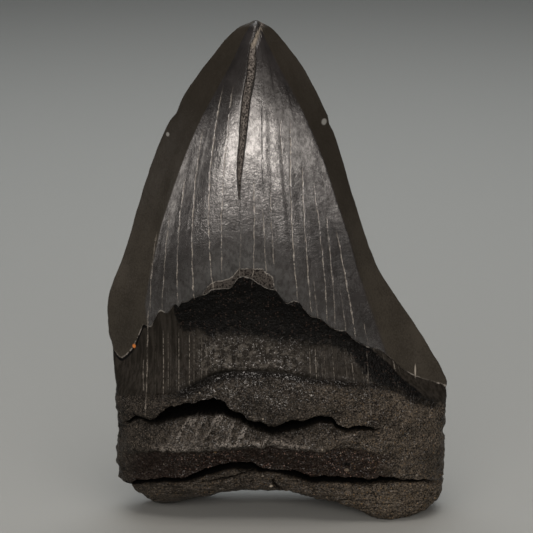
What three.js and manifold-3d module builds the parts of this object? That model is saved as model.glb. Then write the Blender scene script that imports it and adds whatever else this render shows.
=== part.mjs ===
// Fossil megalodon tooth, one solid: crown, bourlette and root grew as one piece.
// Millimetres. +Z runs from the root to the tip, +X to the viewer's right, and the tongue side,
// with the bourlette, faces -Y. The tooth stands on the flat feet of its two root lobes at z = 0.

import * as THREE from 'three';
import { LoftGeometry } from 'three/addons/geometries/LoftGeometry.js';
import { mergeVertices } from 'three/addons/utils/BufferGeometryUtils.js';
import Module from 'manifold-3d';

const wasm = await Module();
wasm.setup();

// ---- Driving dimensions -------------------------------------------------------------------------

const HEIGHT = 148.5;
const HALF_WIDTH = 51.2;
const HALF_DEPTH = 17;

// ---- Curves through a few points ----------------------------------------------------------------

const { clamp, lerp, smoothstep } = THREE.MathUtils;

// A smooth curve through [at, value] points, with no overshoot between them (monotone cubic).
function curveThrough(points) {
	const gaps = points.slice(1).map(([at], i) => at - points[i][0]);
	const slopes = points.slice(1).map(([, value], i) => (value - points[i][1]) / gaps[i]);
	const tangents = points.map((_, i) => {
		const before = slopes[i - 1] ?? slopes[i];
		const after = slopes[i] ?? slopes[i - 1];
		return before * after > 0 ? (2 * before * after) / (before + after) : 0;
	});
	return (at) => {
		let i = 0;
		while (i < gaps.length - 1 && at > points[i + 1][0]) i++;
		const t = clamp((at - points[i][0]) / gaps[i], 0, 1);
		const rise = points[i + 1][1] - points[i][1];
		const start = tangents[i] * gaps[i];
		const end = tangents[i + 1] * gaps[i];
		return points[i][1] + t * (start + t * (3 * rise - 2 * start - end + t * (start + end - 2 * rise)));
	};
}

// ---- Outline, seen from the tongue side ---------------------------------------------------------

// Side edges: [height in mm, share of the half width].
const leftEdge = curveThrough([
	[0, -0.8], [3, -0.845], [8, -0.9], [11, -0.95], [30, -0.948], [45, -0.966], [51, -0.974], [56, -0.995],
	[61, -1], [66, -0.995], [71, -0.965], [77.5, -0.913], [84, -0.872], [97, -0.795], [109, -0.715],
	[118.5, -0.634], [128, -0.528], [137.5, -0.395], [144.4, -0.283], [147.5, -0.21], [HEIGHT, -0.174],
]);
const rightEdge = curveThrough([
	[0, 0.89], [3, 0.955], [7, 0.985], [33, 0.995], [39.5, 1], [43.5, 0.97], [50.5, 0.893], [60, 0.775],
	[70, 0.645], [77.5, 0.564], [95, 0.447], [109, 0.366], [121, 0.286], [130, 0.2], [137.5, 0.113],
	[143.5, 0.022], [147, -0.042], [HEIGHT, -0.08],
]);

// Lines that cross the tooth, from across = -1 on the left edge to +1 on the right edge:
// [across, height in mm]. The rows of the solid follow them.
const underside = curveThrough([
	[-1, 4], [-0.97, 0.8], [-0.93, -1.1], [-0.87, -1.6], [-0.78, -1.3], [-0.66, 0], [-0.53, 2.2],
	[-0.4, 6.4], [-0.28, 8.4], [-0.15, 8.8], [0.02, 8.6], [0.1, 7.3], [0.2, 6.3], [0.3, 5], [0.42, 3],
	[0.55, 0.4], [0.64, -1.2], [0.72, -1.8], [0.84, -1.7], [0.9, -0.2], [0.94, 1.6], [0.97, 3.6], [1, 6],
]);
const lowerCrack = curveThrough([
	[-1, 9.3], [-0.86, 11.3], [-0.73, 12.7], [-0.58, 13.2], [-0.43, 16.2], [-0.25, 18.3], [-0.12, 17.2],
	[0.02, 16.4], [0.2, 14.2], [0.42, 14.1], [0.53, 13.6], [0.65, 14.2], [0.78, 13], [1, 9.3],
]);
const upperCrack = curveThrough([
	[-1, 29.5], [-0.87, 32.3], [-0.795, 31.4], [-0.7, 33.9], [-0.52, 35.8], [-0.4, 37.2], [-0.3, 35.4],
	[-0.2, 32.6], [-0.07, 30.4], [0.1, 31.8], [0.24, 33.9], [0.36, 30.8], [0.55, 30.4], [1, 30.4],
]);
const bourletteLine = curveThrough([
	[-1, 36.4], [-0.8, 39], [-0.6, 41.3], [-0.43, 45.3], [-0.25, 47.7], [-0.05, 47.9], [0.26, 45.5],
	[0.56, 43.7], [0.69, 42], [0.85, 37.3], [1, 33.8],
]);
const enamelMargin = curveThrough([
	[-1, 50], [-0.95, 47.8], [-0.87, 51.4], [-0.8, 56], [-0.72, 60], [-0.62, 64.2], [-0.52, 66.6],
	[-0.4, 69.4], [-0.26, 72.4], [-0.13, 73.2], [-0.04, 76.2], [0.03, 75.8], [0.19, 72.3], [0.25, 68.6],
	[0.34, 67.6], [0.38, 63.9], [0.45, 61.8], [0.55, 58.4], [0.6, 55.2], [0.7, 52], [0.76, 46.8],
	[0.84, 42.4], [1, 38.2],
]);
const tip = () => HEIGHT;
const CROSSING_LINES = [underside, lowerCrack, upperCrack, bourletteLine, enamelMargin, tip];

// How far each line bows up, in mm, at the middle of the lip side.
const LIP_SIDE_BOW = [0, 0, 0, -1, 4, 0];

// Levels count the crossing lines: 1 is the lower crack, 4 the enamel margin, 5 the tip.
const LOWER_CRACK = 1;
const UPPER_CRACK = 2;
const BOURLETTE_LINE = 3;
const MARGIN = 4;
const TIP = 5;

function lineHeight(index, across, isFront) {
	const line = CROSSING_LINES[index];
	if (isFront || index === 0) return line(across);
	const straight = lerp(line(-1), line(1), (across + 1) / 2);
	return straight + LIP_SIDE_BOW[index] * (1 - across * across);
}

function heightAt(level, across, isFront) {
	const below = Math.min(Math.floor(level), TIP - 1);
	const low = lineHeight(below, across, isFront);
	const high = lineHeight(below + 1, across, isFront);
	return lerp(low, high, level - below);
}

// ---- Depth, front to back -----------------------------------------------------------------------

// Depths along the middle of the tooth: [level, share of the half depth]. The crown leans back a
// little from its foot to its tip, so the plane of the side edges is set back the most at the tip.
// The depths of both sides are measured from that plane.
const edgeSetBack = curveThrough([[0, 0], [3, 0.03], [4, 0.12], [4.4, 0.2], [4.7, 0.32], [5, 0.46]]);

// Tongue side where the root has its ledge, between the two cracks.
const ledgedDepth = curveThrough([
	[0, 0.9], [0.9, 0.92], [1.1, 0.86], [1.3, 0.93], [1.5, 1], [1.7, 0.95], [1.92, 0.86], [2.08, 0.99],
	[2.5, 1], [2.95, 0.95], [3.05, 0.9], [3.2, 0.81], [3.4, 0.71], [3.6, 0.69], [3.8, 0.74], [3.97, 0.82],
	[4.03, 0.89], [4.12, 0.89], [4.4, 0.76], [4.6, 0.63], [4.8, 0.44], [4.9, 0.3], [4.96, 0.17], [5, 0.03],
]);
// Tongue side to the right of the ledge, where the root is plain.
const plainDepth = curveThrough([
	[0, 0.92], [0.9, 0.96], [1.5, 0.99], [2.5, 0.97], [2.95, 0.94], [3.05, 0.9], [3.2, 0.82], [3.4, 0.76],
	[3.6, 0.74], [3.8, 0.76], [3.97, 0.82], [4.03, 0.89], [4.12, 0.89], [4.4, 0.76], [4.6, 0.63],
	[4.8, 0.44], [4.9, 0.3], [4.96, 0.17], [5, 0.03],
]);
const LEDGE_ENDS = [0.12, 0.45];

const lipDepth = curveThrough([
	[0, 0.8], [0.6, 0.88], [1.5, 0.96], [2.2, 0.97], [3, 0.87], [3.6, 0.72], [3.96, 0.62], [4.02, 0.65],
	[4.2, 0.53], [4.5, 0.39], [4.8, 0.23], [4.9, 0.17], [4.96, 0.11], [5, 0.03],
]);

// The crown is a lens: a dome between two flat blades that run out to the cutting edges.
const BLADE_STARTS = { left: 0.72, right: 0.82 };
const BLADE_RISE = 0.5;
const LIP_SIDE_CURVE = 2.2;

function crownSection(across, isFront) {
	const reach = Math.abs(across);
	if (!isFront) return 1 - reach ** LIP_SIDE_CURVE;
	const bladeStart = across < 0 ? BLADE_STARTS.left : BLADE_STARTS.right;
	if (reach > bladeStart) return (BLADE_RISE * (1 - reach)) / (1 - bladeStart);
	return BLADE_RISE + (1 - BLADE_RISE) * (1 - (reach / bladeStart) ** 2);
}

// The root is a flat slab with round ends: a superellipse with these two powers.
const ROOT_FLATNESS = 3.2;
const ROOT_END_ROUNDNESS = 0.42;

function rootSection(across) {
	return (1 - Math.abs(across) ** ROOT_FLATNESS) ** ROOT_END_ROUNDNESS;
}

// The root's section turns into the crown's between these levels.
const ROOT_TO_CROWN = [2.2, 4.3];

function sectionAt(level, across, isFront) {
	const crownShare = smoothstep(level, ...ROOT_TO_CROWN);
	return lerp(rootSection(across), crownSection(across, isFront), crownShare);
}

// The underside turns up into the sides through a round edge. A power of 2 is a quarter ellipse.
const ROUND_EDGE_LEVEL = 0.5;
const ROUND_EDGE_POWER = 3;

function undersideRounding(level) {
	const turn = clamp(level / ROUND_EDGE_LEVEL, 0, 1);
	return (1 - (1 - turn) ** ROUND_EDGE_POWER) ** (1 / ROUND_EDGE_POWER);
}

// ---- Cracks and the worn groove, on the tongue side ---------------------------------------------

const CRACK_HALF_OPENING = 0.05;
const CRACK_DEPTH = 3.5;
const CRACK_SIDE_ENDS = [0.9, 1];
const UPPER_CRACK_RIGHT_END = [0.3, 0.5];
const GROOVE_ACROSS = -0.07;
const GROOVE_HALF_WIDTH = 0.03;
const GROOVE_DEPTH = 1.2;
const GROOVE_FOOT_LEVEL = 4.33;
const GROOVE_RUN_OUT = 0.06;

function crackDepth(level, across) {
	const lower = 1 - smoothstep(Math.abs(level - LOWER_CRACK), 0, CRACK_HALF_OPENING);
	const upper = 1 - smoothstep(Math.abs(level - UPPER_CRACK), 0, CRACK_HALF_OPENING);
	const upperFade = 1 - smoothstep(across, ...UPPER_CRACK_RIGHT_END);
	const sideFade = 1 - smoothstep(Math.abs(across), ...CRACK_SIDE_ENDS);
	return CRACK_DEPTH * sideFade * (lower + upper * upperFade);
}

function grooveDepth(level, across) {
	const aside = Math.abs(across - GROOVE_ACROSS) / GROOVE_HALF_WIDTH;
	const foot = smoothstep(level, GROOVE_FOOT_LEVEL, GROOVE_FOOT_LEVEL + GROOVE_RUN_OUT);
	const atTip = smoothstep(TIP - level, 0, GROOVE_RUN_OUT);
	return GROOVE_DEPTH * foot * atTip * clamp(1 - aside, 0, 1);
}

// ---- The left lobe's foot, whose underside slopes up toward the front ----------------------------

const LEFT_LOBE_SIDE = [-28, -12];
const FOOT_FRONT = 7;
const FOOT_SLOPE = 0.4;

function leftFootLift(level, x, y) {
	const onLobe = 1 - smoothstep(x, ...LEFT_LOBE_SIDE);
	const nearFoot = Math.max(0, LOWER_CRACK - level);
	return FOOT_SLOPE * Math.max(0, FOOT_FRONT - y) * onLobe * nearFoot;
}

// ---- The surface --------------------------------------------------------------------------------

function surfacePoint(level, across, isFront) {
	const z = heightAt(level, across, isFront);
	const left = leftEdge(z) * HALF_WIDTH;
	const right = rightEdge(z) * HALF_WIDTH;
	const x = lerp(left, right, (across + 1) / 2);

	const section = sectionAt(level, across, isFront) * undersideRounding(level);
	const middle = edgeSetBack(level) * HALF_DEPTH;
	let y = middle + lipDepth(level) * HALF_DEPTH * section;
	if (isFront) {
		const pastLedge = smoothstep(across, ...LEDGE_ENDS);
		const depth = lerp(ledgedDepth(level), plainDepth(level), pastLedge) * HALF_DEPTH;
		const carved = crackDepth(level, across) + grooveDepth(level, across);
		y = middle + (carved - depth) * section;
	}
	return new THREE.Vector3(x, y, z + leftFootLift(level, x, y));
}

// Columns crowd together toward the two side edges, and three of them form the groove.
const COLUMN_STEPS = 30;

function columnPlaces() {
	const places = [];
	for (let step = 0; step <= COLUMN_STEPS; step++) {
		const across = -Math.cos((Math.PI * step) / COLUMN_STEPS);
		const besideGroove = Math.abs(across - GROOVE_ACROSS) < GROOVE_HALF_WIDTH * 1.5;
		if (!besideGroove) places.push(across);
	}
	const groove = [-GROOVE_HALF_WIDTH, 0, GROOVE_HALF_WIDTH].map((aside) => GROOVE_ACROSS + aside);
	return [...places, ...groove].sort((a, b) => a - b);
}

// Rows stand close together at the round edge, the cracks, the bourlette line and the margin.
function rowLevels() {
	const levels = [0, 0.04, 0.1, 0.2, 0.33, 0.5, 0.75];
	for (const crack of [LOWER_CRACK, UPPER_CRACK]) {
		levels.push(crack - 0.06, crack - 0.03, crack, crack + 0.03, crack + 0.06);
	}
	levels.push(1.2, 1.35, 1.5, 1.65, 1.8, 2.25, 2.45, 2.65, 2.82);
	levels.push(BOURLETTE_LINE - 0.05, BOURLETTE_LINE, BOURLETTE_LINE + 0.06);
	levels.push(3.2, 3.35, 3.5, 3.65, 3.8, 3.92);
	levels.push(MARGIN - 0.03, MARGIN, MARGIN + 0.03);
	const crownRows = 20;
	for (let row = 1; row <= crownRows; row++) {
		const towardTip = Math.sin((Math.PI / 2) * (row / crownRows));
		levels.push(lerp(MARGIN + 0.03, TIP, towardTip));
	}
	return levels.sort((a, b) => a - b);
}

// A row is a ring: along the front from left to right, then along the back from right to left.
function ring(level, columns) {
	const front = columns.map((across) => surfacePoint(level, across, true));
	const back = columns.slice(1, -1).map((across) => surfacePoint(level, across, false));
	return [...front, ...back.reverse()];
}

// ---- Solids -------------------------------------------------------------------------------------

function toSolid(geometry) {
	const bare = new THREE.BufferGeometry();
	bare.setAttribute('position', geometry.attributes.position);
	bare.setIndex(geometry.index);
	const merged = mergeVertices(bare);
	const vertProperties = merged.attributes.position.array;
	const triVerts = Uint32Array.from(merged.index.array);
	return new wasm.Manifold(new wasm.Mesh({ numProp: 3, vertProperties, triVerts }));
}

function toGeometry(solid) {
	const { vertProperties, triVerts } = solid.getMesh();
	const geometry = new THREE.BufferGeometry();
	geometry.setAttribute('position', new THREE.BufferAttribute(vertProperties, 3));
	geometry.setIndex(new THREE.BufferAttribute(triVerts, 1));
	geometry.computeVertexNormals();
	return geometry;
}

// The block below z = 0, which cuts both lobes flat where the tooth stands on them.
function standingBlock() {
	const depth = 40;
	const block = new THREE.BoxGeometry(4 * HALF_WIDTH, 4 * HALF_DEPTH, depth);
	return block.translate(0, 0, -depth / 2);
}

// The z axis runs through the middle of the finished tooth's width and depth.
function centreOnAxis(geometry) {
	geometry.computeBoundingBox();
	const middle = geometry.boundingBox.getCenter(new THREE.Vector3());
	return geometry.translate(-middle.x, -middle.y, 0);
}

function makeTooth() {
	const columns = columnPlaces();
	const rings = rowLevels().map((level) => ring(level, columns));
	const grown = new LoftGeometry(rings, { closed: true, capStart: false, capEnd: true });
	const standing = toSolid(grown).subtract(toSolid(standingBlock()));
	const fossil = new THREE.MeshStandardMaterial({ color: 0x2e2a26, roughness: 0.45, metalness: 0 });
	const tooth = new THREE.Mesh(centreOnAxis(toGeometry(standing)), fossil);
	tooth.name = 'tooth';
	return tooth;
}

const part = new THREE.Group();
part.add(makeTooth());

export default part;
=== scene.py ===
"""A black fossil megalodon tooth, standing on its root lobes on a plain pale floor.

The tooth is one piece: a dense mesh whose rows follow the lines that cross it, from the underside
through the two root cracks, the bourlette line and the enamel margin to the tip. Sizes are in
millimetres until the mesh is made. +X is the viewer's right, +Z is up, and the tongue side faces -Y.
"""

import math

import bpy
import numpy as np
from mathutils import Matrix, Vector, noise


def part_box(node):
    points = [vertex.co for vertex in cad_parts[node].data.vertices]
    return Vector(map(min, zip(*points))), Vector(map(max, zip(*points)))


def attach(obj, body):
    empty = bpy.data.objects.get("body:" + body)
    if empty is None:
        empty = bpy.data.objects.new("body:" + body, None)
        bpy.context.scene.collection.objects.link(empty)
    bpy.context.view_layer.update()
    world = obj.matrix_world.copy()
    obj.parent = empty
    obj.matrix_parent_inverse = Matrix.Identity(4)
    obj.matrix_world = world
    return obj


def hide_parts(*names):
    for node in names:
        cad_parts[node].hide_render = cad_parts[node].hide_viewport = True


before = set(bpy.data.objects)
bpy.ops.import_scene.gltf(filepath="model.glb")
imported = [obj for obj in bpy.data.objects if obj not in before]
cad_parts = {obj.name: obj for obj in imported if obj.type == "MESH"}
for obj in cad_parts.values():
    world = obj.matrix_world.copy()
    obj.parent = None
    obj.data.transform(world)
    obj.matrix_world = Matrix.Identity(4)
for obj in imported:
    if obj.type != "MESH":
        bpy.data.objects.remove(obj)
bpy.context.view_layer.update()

MM = 0.001
LOW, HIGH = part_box("tooth")
HEIGHT = (HIGH.z - LOW.z) / MM
HALF_WIDTH = (HIGH.x - LOW.x) / 2 / MM
HALF_DEPTH = (HIGH.y - LOW.y) / 2 / MM


# ---- Curves and steps ----


def curve(*points):
    """A smooth curve through (at, value) points, with no overshoot between them."""
    at, value = np.array(points, float).T
    gap = np.diff(at)
    slope = np.diff(value) / gap
    before = np.r_[slope[0], slope]
    after = np.r_[slope, slope[-1]]
    total = before + after
    level = before * after <= 0
    tangent = np.where(level, 0, 2 * before * after / np.where(level, 1, total))

    def read(x):
        i = np.clip(np.searchsorted(at, x, side="right") - 1, 0, len(gap) - 1)
        t = np.clip((x - at[i]) / gap[i], 0, 1)
        rise = value[i + 1] - value[i]
        start, end = tangent[i] * gap[i], tangent[i + 1] * gap[i]
        return value[i] + t * (start + t * (3 * rise - 2 * start - end + t * (start + end - 2 * rise)))

    return read


def ease(x, low, high):
    """0 below low, 1 above high, and a smooth rise between."""
    t = np.clip((x - low) / (high - low), 0, 1)
    return t * t * (3 - 2 * t)


def past(x, soft):
    """0 below 0, 1 above it, with the rise spread over soft on both sides."""
    return ease(x, -soft, soft)


def rise_and_fall(x, start, end):
    """A smooth rise over start and a smooth fall over end, each of them a (low, high)."""
    return ease(x, *start) * (1 - ease(x, *end))


def between(x, low, high, soft):
    """1 from low to high, fading to 0 over soft on both sides."""
    return rise_and_fall(x, (low - soft, low), (high, high + soft))


def blend(a, b, share):
    """a where share is 0, b where it is 1, and evenly between."""
    return a + (b - a) * share


def bump_at(distance, half_width):
    """1 at distance 0, falling smoothly to nearly 0 at twice the half width."""
    return np.exp(-((distance / half_width) ** 2))


SEED_SHIFT = 7.31


def lumps(points, size, octaves, seed, stretch=(1, 1, 1)):
    """Fractal noise of about -1 to 1, with lumps of about size mm, longer along stretch."""
    flat = points.reshape(-1, 3) / (np.array(stretch) * size) + seed * SEED_SHIFT
    values = [noise.fractal(p, 1.0, 2.0, octaves) for p in flat.tolist()]
    return np.array(values).reshape(points.shape[:-1])


def lumps_along(places, size, octaves, seed):
    """The same noise along one line of places."""
    return lumps(np.stack([places, places * 0, places * 0], axis=-1), size, octaves, seed)


# ---- Outline and crossing lines, as in the CAD ----

# Side edges: (height in mm, share of the half width).
left_edge = curve(
    (0, -0.8), (3, -0.845), (8, -0.9), (11, -0.95), (30, -0.948), (45, -0.966), (51, -0.974), (56, -0.995),
    (61, -1), (66, -0.995), (71, -0.965), (77.5, -0.913), (84, -0.872), (97, -0.795), (109, -0.715),
    (118.5, -0.634), (128, -0.528), (137.5, -0.395), (144.4, -0.283), (147.5, -0.21), (HEIGHT, -0.174),
)
right_edge = curve(
    (0, 0.89), (3, 0.955), (7, 0.985), (33, 0.995), (39.5, 1), (43.5, 0.97), (50.5, 0.893), (60, 0.775),
    (70, 0.645), (77.5, 0.564), (95, 0.447), (109, 0.366), (121, 0.286), (130, 0.2), (137.5, 0.113),
    (143.5, 0.022), (147, -0.042), (HEIGHT, -0.08),
)
EDGE_REACH = 0.92

# Wear of the side edges, in mm, stronger on the root, and its noise: (size in mm, octaves, seed).
EDGE_WEAR = 0.16
LEFT_WEAR = (2.5, 3, 11)
RIGHT_WEAR = (2.5, 3, 12)
ROOT_EXTRA_WEAR = 2
ROOT_WEAR_FADE = (30, 45)

# Dents of the left edge, a notch and a step by the lower crack: depth, foot and top in mm.
LEFT_DENTS = ((0.7, (120.7, 121.3), (121.3, 126)), (2.6, (3, 8), (9.4, 9.9)))

# The notch high on the right edge, in mm.
NOTCH_DEPTH = 0.45
NOTCH_HEIGHT = 118.4
NOTCH_HALF_HEIGHT = 0.6

# Lines that cross the tooth: (across, height in mm), with across -1 on the left edge, +1 on the right.
underside = curve(
    (-1, 4), (-0.97, 0.8), (-0.93, -1.1), (-0.87, -1.6), (-0.78, -1.3), (-0.66, 0), (-0.53, 2.2),
    (-0.4, 6.4), (-0.28, 8.4), (-0.15, 8.8), (0.02, 8.6), (0.1, 7.3), (0.2, 6.3), (0.3, 5), (0.42, 3),
    (0.55, 0.4), (0.64, -1.2), (0.72, -1.8), (0.84, -1.7), (0.9, -0.2), (0.94, 1.6), (0.97, 3.6), (1, 6),
)
lower_crack = curve(
    (-1, 9.3), (-0.86, 11.3), (-0.73, 12.7), (-0.6, 13.1), (-0.49, 14.9), (-0.43, 16.2), (-0.28, 18.3),
    (-0.19, 18.3), (-0.12, 17.1), (0.02, 16.4), (0.08, 15.9), (0.2, 14.2), (0.42, 14.1), (0.53, 13.5),
    (0.61, 14.3), (0.69, 14), (0.78, 13), (0.91, 11.8), (1, 9.3),
)
upper_crack = curve(
    (-1, 29.4), (-0.93, 30.2), (-0.89, 31.9), (-0.87, 32.4), (-0.83, 32.2), (-0.795, 31.2), (-0.76, 31.8),
    (-0.73, 33.1), (-0.7, 33.9), (-0.6, 35.6), (-0.52, 36.3), (-0.48, 36.9), (-0.42, 37.2), (-0.35, 37),
    (-0.31, 35.6), (-0.25, 34.6), (-0.2, 32.6), (-0.13, 32), (-0.07, 30.3), (0.05, 31.6), (0.11, 31.9),
    (0.18, 33), (0.23, 33.9), (0.29, 33.6), (0.34, 31.2), (0.39, 30.3), (0.45, 30.9), (0.51, 30.9),
    (0.56, 30.3), (1, 30.4),
)
bourlette_line = curve(
    (-1, 36.4), (-0.88, 38.4), (-0.69, 40.1), (-0.6, 41.3), (-0.55, 42.3), (-0.43, 45.3), (-0.36, 46.7),
    (-0.29, 47.5), (-0.07, 47.9), (0.06, 47.3), (0.18, 46.1), (0.26, 45.5), (0.43, 44.4), (0.56, 43.7),
    (0.69, 42), (0.75, 39.9), (0.85, 37.3), (0.92, 35.7), (1, 33.8),
)
enamel_margin = curve(
    (-1, 50), (-0.95, 47.8), (-0.918, 48.8), (-0.868, 51.4), (-0.808, 55.3), (-0.772, 58.4), (-0.752, 59.8),
    (-0.71, 59.2), (-0.678, 61.5), (-0.625, 64.8), (-0.587, 64), (-0.541, 66.4), (-0.519, 67.3),
    (-0.499, 65.9), (-0.485, 67.6), (-0.436, 68.3), (-0.394, 69.7), (-0.31, 70.7), (-0.268, 72.3),
    (-0.129, 72.8), (-0.083, 75.6), (-0.04, 76.5), (0.017, 76), (0.08, 74.2), (0.142, 72.7), (0.197, 72.2),
    (0.214, 70.7), (0.252, 67.8), (0.309, 68.7), (0.341, 68.3), (0.374, 63.9), (0.438, 62.9),
    (0.459, 61.2), (0.498, 59.3), (0.553, 58.8), (0.585, 55.4), (0.644, 53.3), (0.697, 52.4),
    (0.733, 49.9), (0.764, 46.3), (0.825, 43.1), (0.9, 40.9), (1, 38.2),
)

# The level of each line above the underside, and how far each bows up on the lip side, in mm.
LOWER_CRACK, UPPER_CRACK, BOURLETTE, MARGIN, TIP = 1, 2, 3, 4, 5
LIP_SIDE_BOW = (0, 0, 0, -1, 4, 0)
TIP_CAP = 0.5
LINE_SMOOTHING = 0.12
SMOOTHING_STEPS = 13


def tongue_lines(across):
    """Heights of the six crossing lines over the columns of the tongue side, as six rows."""
    below_tip = (underside, lower_crack, upper_crack, bourlette_line, enamel_margin)
    lines = [line(across) for line in below_tip]
    return np.array(lines + [np.full_like(across, HEIGHT + TIP_CAP)])


def lip_lines(across):
    """The lip side's own lines: plain bows between the same ends."""
    lines = tongue_lines(across)
    for index in range(1, len(lines)):
        straight = blend(lines[index][0], lines[index][-1], (across + 1) / 2)
        lines[index] = straight + LIP_SIDE_BOW[index] * (1 - across**2)
    return lines


def smooth_level(z, across):
    """Level by height between the running means of the lines, so a jagged line leaves no ripple."""
    shifts = np.linspace(-LINE_SMOOTHING, LINE_SMOOTHING, SMOOTHING_STEPS)
    near = np.clip(across[:, None] + shifts, -1, 1)
    lines = np.array([tongue_lines(shifted) for shifted in near.T]).mean(axis=0)
    lines[0] = underside(across)
    steps = [(z - low) / (high - low) for low, high in zip(lines[:-1], lines[1:])]
    return np.clip(steps, 0, 1).sum(axis=0)


# ---- Depth, front to back, as in the CAD ----

# Along the middle of the tooth: (level, share of the half depth). With the ledge and without, the tongue
# side is the same from just under the margin up.
CROWN_DEPTH = (
    (3.97, 0.82), (4.03, 0.85), (4.12, 0.87), (4.4, 0.76), (4.6, 0.63), (4.8, 0.44), (4.9, 0.3),
    (4.96, 0.17), (5, 0.1),
)
edge_set_back = curve((0, 0), (3, 0.03), (4, 0.12), (4.4, 0.2), (4.7, 0.32), (5, 0.46))
ledged_depth = curve(
    (0, 0.9), (0.9, 0.92), (1.1, 0.86), (1.3, 0.93), (1.5, 1), (1.7, 0.95), (1.92, 0.86), (2.08, 0.99),
    (2.5, 1), (2.95, 0.95), (3.05, 0.9), (3.2, 0.81), (3.4, 0.71), (3.6, 0.69), (3.8, 0.74),
    *CROWN_DEPTH,
)
plain_depth = curve(
    (0, 0.92), (0.9, 0.96), (1.5, 0.99), (2.5, 0.97), (2.95, 0.94), (3.05, 0.9), (3.2, 0.82),
    (3.4, 0.76), (3.6, 0.74), (3.8, 0.76), *CROWN_DEPTH,
)
lip_depth = curve(
    (0, 0.8), (0.6, 0.88), (1.5, 0.96), (2.2, 0.97), (3, 0.87), (3.6, 0.72), (3.96, 0.62), (4.02, 0.64),
    (4.2, 0.53), (4.5, 0.39), (4.8, 0.23), (4.9, 0.17), (4.96, 0.11), (5, 0.08),
)

# Where the ledged depth gives way to the plain one: shares of the half width.
LEDGE_ENDS = (0.12, 0.45)

# Cross-sections: the root's rounded slab turns into the crown's dome between these levels.
ROOT_FLATNESS = 3.2
ROOT_END_ROUNDNESS = 0.42
ROOT_TO_CROWN = (2.2, 4.3)
LIP_SIDE_CURVE = 2.2
BLADE_RISE = 0.54
SIDE_FADE = (0.9, 1)

# Where the crown's dome turns into its flat blades: (height in mm, reach from the middle).
left_blade_start = curve(
    (50, 0.72), (70, 0.735), (78, 0.749), (88, 0.748), (98, 0.722), (110, 0.679), (120, 0.633),
    (128, 0.574), (146, 0.4),
)
right_blade_start = curve(
    (50, 0.72), (65, 0.798), (74, 0.844), (85, 0.867), (97, 0.843), (107, 0.815), (116, 0.761),
    (126, 0.674), (146, 0.4),
)


def blade_start(across, height):
    return np.where(across < 0, left_blade_start(height), right_blade_start(height))


def crown_section(across, height):
    """A dome with a flat blade outside it on both sides."""
    reach = np.abs(across)
    start = blade_start(across, height)
    blade = BLADE_RISE * (1 - reach) / (1 - start)
    dome = BLADE_RISE + (1 - BLADE_RISE) * (1 - (reach / start) ** 2)
    return np.where(reach > start, blade, dome)


def root_section(across):
    """A flat slab with rounded ends."""
    return (1 - np.abs(across) ** ROOT_FLATNESS).clip(0) ** ROOT_END_ROUNDNESS


UNDERSIDE_LEVEL = 0.5
UNDERSIDE_POWER = 3
TIP_ROUNDING = 0.024


def ends_closed(level):
    """1 over most of the tooth, closing to 0 round the underside."""
    turn = np.clip(level / UNDERSIDE_LEVEL, 0, 1)
    return (1 - (1 - turn) ** UNDERSIDE_POWER) ** (1 / UNDERSIDE_POWER)


def tip_closed(level):
    """1 below the tip, closing to 0 over it like the end of an ellipse."""
    over = np.clip((level - (TIP - TIP_ROUNDING)) / TIP_ROUNDING, 0, 1)
    return np.sqrt(1 - over**2)


# ---- Cracks, ledge, groove and foot ----

# Half the opening of each root crack, in mm. From FULL_OPENING up a crack is cut to its full depth, and
# from BLACK_DEPTH down its inside is painted black as shade.
lower_opening = curve(
    (-1, 0.1), (-0.9, 0.35), (-0.8, 0.35), (-0.73, 0.65), (-0.58, 0.75), (-0.55, 0.95), (-0.43, 0.9),
    (-0.3, 0.5), (-0.24, 0.65), (-0.17, 0.6), (-0.06, 0.15), (0.05, 0.5), (0.11, 0.65), (0.3, 0.65),
    (0.55, 0.45), (0.6, 0.55), (0.75, 0.25), (0.85, 0.12), (1, 0.05),
)
upper_opening = curve(
    (-1, 0.05), (-0.95, 0.1), (-0.88, 0.3), (-0.83, 0.15), (-0.795, 0.15), (-0.76, 0.45), (-0.73, 1.2),
    (-0.64, 1.9), (-0.52, 1.9), (-0.48, 2.1), (-0.42, 2.3), (-0.35, 2.1), (-0.31, 1.2), (-0.25, 1.1),
    (-0.2, 0.9), (-0.13, 1.4), (-0.07, 0.9), (0.05, 1.2), (0.17, 0.75), (0.23, 0.75), (0.33, 0.3),
    (0.51, 0.3), (0.56, 0.1), (0.6, 0), (1, 0),
)
FULL_OPENING = 0.5
CRACK_DEPTH = 9
CRACK_WAVER = 0.3
CRACK_WAVER_NOISE = (3, 4, 3)
BLACK_DEPTH = 2
UPPER_LIP_WALL = 0.3
LOWER_LIP_WALL = 0.9

# Two thin cracks in the slab below: (across, height) of one, (height, across) of the other.
slab_crack = curve(
    (-0.48, 10.7), (-0.4, 12.6), (-0.34, 13.8), (-0.28, 15.1), (-0.19, 16.6), (-0.12, 17.1),
)
slab_split = curve((9.3, 0.042), (11, -0.002), (11.9, -0.031), (13.3, -0.05))
SLAB_CRACK_SPAN = (-0.5, -0.12, 0.02)
SLAB_SPLIT_SPAN = (9, 13.8, 0.4)
THIN_CRACK_DEPTH = 1.6
THIN_CRACK_HALF_WIDTH = 0.35

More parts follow.
